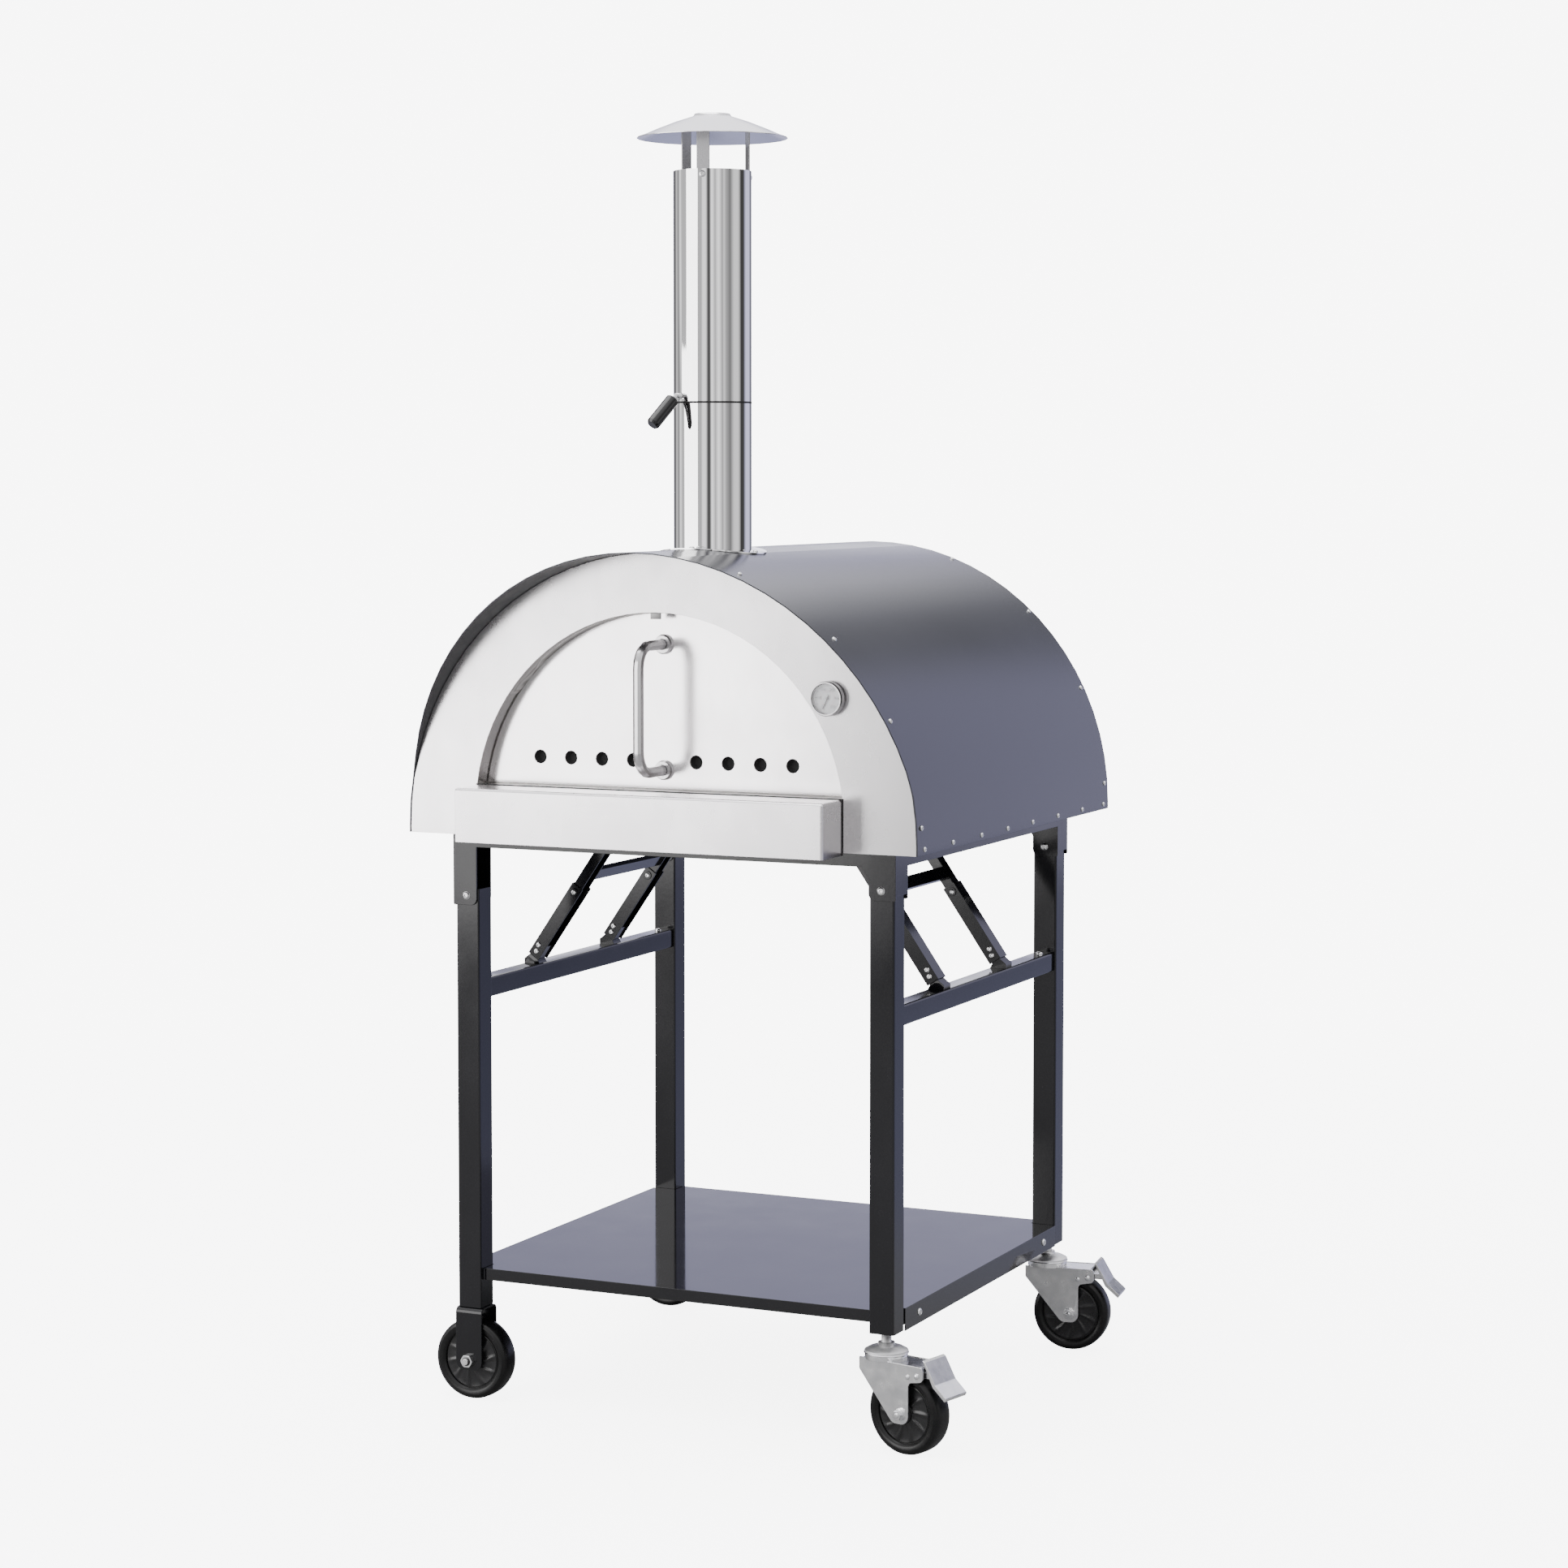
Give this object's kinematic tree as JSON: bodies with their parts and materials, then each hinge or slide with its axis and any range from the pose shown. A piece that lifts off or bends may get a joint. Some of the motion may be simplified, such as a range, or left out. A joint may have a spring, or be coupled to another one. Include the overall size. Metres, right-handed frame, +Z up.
{
  "type": "wood fired pizza oven",
  "caption": "Freestanding wood fired pizza oven: vaulted insulated body, lift-out arch door, chimney with damper and rain cap, on a folding wheeled stand with a shelf.",
  "frame": {"origin": "on the floor, in the middle of the footprint", "axes": "+Z up; the oven's front faces -Y; +X is its right side seen from the front"},
  "size_m": [0.7164, 0.7092, 1.5805],
  "materials": {
    "brushed_steel": "satin",
    "polished_steel": "polished",
    "charcoal_paint": "satin",
    "black_paint": "gloss",
    "zinc": "satin",
    "black_rubber": "matte",
    "black_plastic": "gloss",
    "fire_stone": "matte",
    "ceramic_fibre": "matte",
    "dial_white": "satin",
    "gauge_glass": "polished"
  },
  "bodies": {
    "oven": {"arch_jamb": "brushed_steel", "back_panel": "brushed_steel", "base_frame": "black_paint", "base_pan": "black_paint", "cap_strut_1": "brushed_steel", "cap_strut_2": "brushed_steel", "cap_strut_3": "brushed_steel", "caster_mount_back": "zinc", "caster_mount_front": "zinc", "chimney_collar": "polished_steel", "chimney_lower": "polished_steel", "chimney_upper": "polished_steel", "fixed_axle_back": "zinc", "fixed_axle_front": "zinc", "fixed_fork_back": "black_paint", "fixed_fork_front": "black_paint", "floor_board": "ceramic_fibre", "front_ledge": "brushed_steel", "front_panel": "brushed_steel", "hearth_stone_left": "fire_stone", "hearth_stone_right": "fire_stone", "inner_back_wall": "brushed_steel", "inner_dome": "brushed_steel", "insulation_blanket": "ceramic_fibre", "leg_back_left": "black_paint", "leg_back_right": "black_paint", "leg_front_left": "black_paint", "leg_front_right": "black_paint", "lower_rail_left": "black_paint", "lower_rail_right": "black_paint", "outer_shell": "charcoal_paint", "rain_cap": "brushed_steel", "shelf": "black_paint", "stay_lower_left_back": "black_paint", "stay_lower_left_front": "black_paint", "stay_lower_right_back": "black_paint", "stay_lower_right_front": "black_paint", "stay_yoke_left": "black_paint", "stay_yoke_right": "black_paint", "thermometer_case": "polished_steel", "thermometer_dial": "dial_white", "thermometer_glass": "gauge_glass", "upper_rail_left": "black_paint", "upper_rail_right": "black_paint"},
    "door": {"door_panel": "brushed_steel", "door_insulation": "ceramic_fibre", "door_handle": "brushed_steel", "handle_ferrule_lower": "brushed_steel", "handle_ferrule_upper": "brushed_steel"},
    "damper": {"damper_blade": "polished_steel", "damper_grip": "black_plastic"},
    "needle": {"thermometer_needle": "black_paint"},
    "caster_swivel_front": {"caster_fork_front": "zinc"},
    "caster_roller_front": {"caster_wheel_front": "black_rubber"},
    "caster_pedal_front": {"caster_brake_front": "zinc"},
    "fixed_roller_front": {"fixed_wheel_front": "black_rubber"},
    "caster_swivel_back": {"caster_fork_back": "zinc"},
    "caster_roller_back": {"caster_wheel_back": "black_rubber"},
    "caster_pedal_back": {"caster_brake_back": "zinc"},
    "fixed_roller_back": {"fixed_wheel_back": "black_rubber"}
  },
  "joints": [
    {"name": "door_pull", "type": "slide", "parent": "oven", "child": "door", "axis": [0, -1, 0], "range_m": [0, 0.3]},
    {"name": "damper_turn", "type": "hinge", "parent": "oven", "child": "damper", "pos_m": [-0.02123, -0.13545, 1.24], "axis": [-0.454, -0.891, 0], "range_deg": [0, 90]},
    {"name": "needle_turn", "type": "hinge", "parent": "oven", "child": "needle", "pos_m": [0.20457, -0.29775, 0.887], "axis": [0, 1, 0], "range_deg": [0, 290], "stiffness_Nm_per_rad": 0.001},
    {"name": "caster_front_swivel", "type": "hinge", "parent": "oven", "child": "caster_swivel_front", "pos_m": [0.25577, -0.24045, 0.115], "axis": [0, 0, 1], "continuous": true},
    {"name": "caster_front_roll", "type": "hinge", "parent": "caster_swivel_front", "child": "caster_roller_front", "pos_m": [0.2889, -0.2481, 0.05], "axis": [-0.225, -0.9744, 0], "continuous": true},
    {"name": "caster_front_brake", "type": "hinge", "parent": "caster_swivel_front", "child": "caster_pedal_front", "pos_m": [0.31228, -0.2535, 0.1], "axis": [0.225, 0.9744, 0], "range_deg": [0, 18]},
    {"name": "fixed_front_roll", "type": "hinge", "parent": "oven", "child": "fixed_roller_front", "pos_m": [-0.29823, -0.24045, 0.05], "axis": [0, 1, 0], "continuous": true},
    {"name": "caster_back_swivel", "type": "hinge", "parent": "oven", "child": "caster_swivel_back", "pos_m": [0.25577, 0.29655, 0.115], "axis": [0, 0, 1], "continuous": true},
    {"name": "caster_back_roll", "type": "hinge", "parent": "caster_swivel_back", "child": "caster_roller_back", "pos_m": [0.28944, 0.30128, 0.05], "axis": [0.1392, -0.9903, 0], "continuous": true},
    {"name": "caster_back_brake", "type": "hinge", "parent": "caster_swivel_back", "child": "caster_pedal_back", "pos_m": [0.31321, 0.30462, 0.1], "axis": [-0.1392, 0.9903, 0], "range_deg": [0, 18]},
    {"name": "fixed_back_roll", "type": "hinge", "parent": "oven", "child": "fixed_roller_back", "pos_m": [-0.29823, 0.29655, 0.05], "axis": [0, 1, 0], "continuous": true}
  ]
}
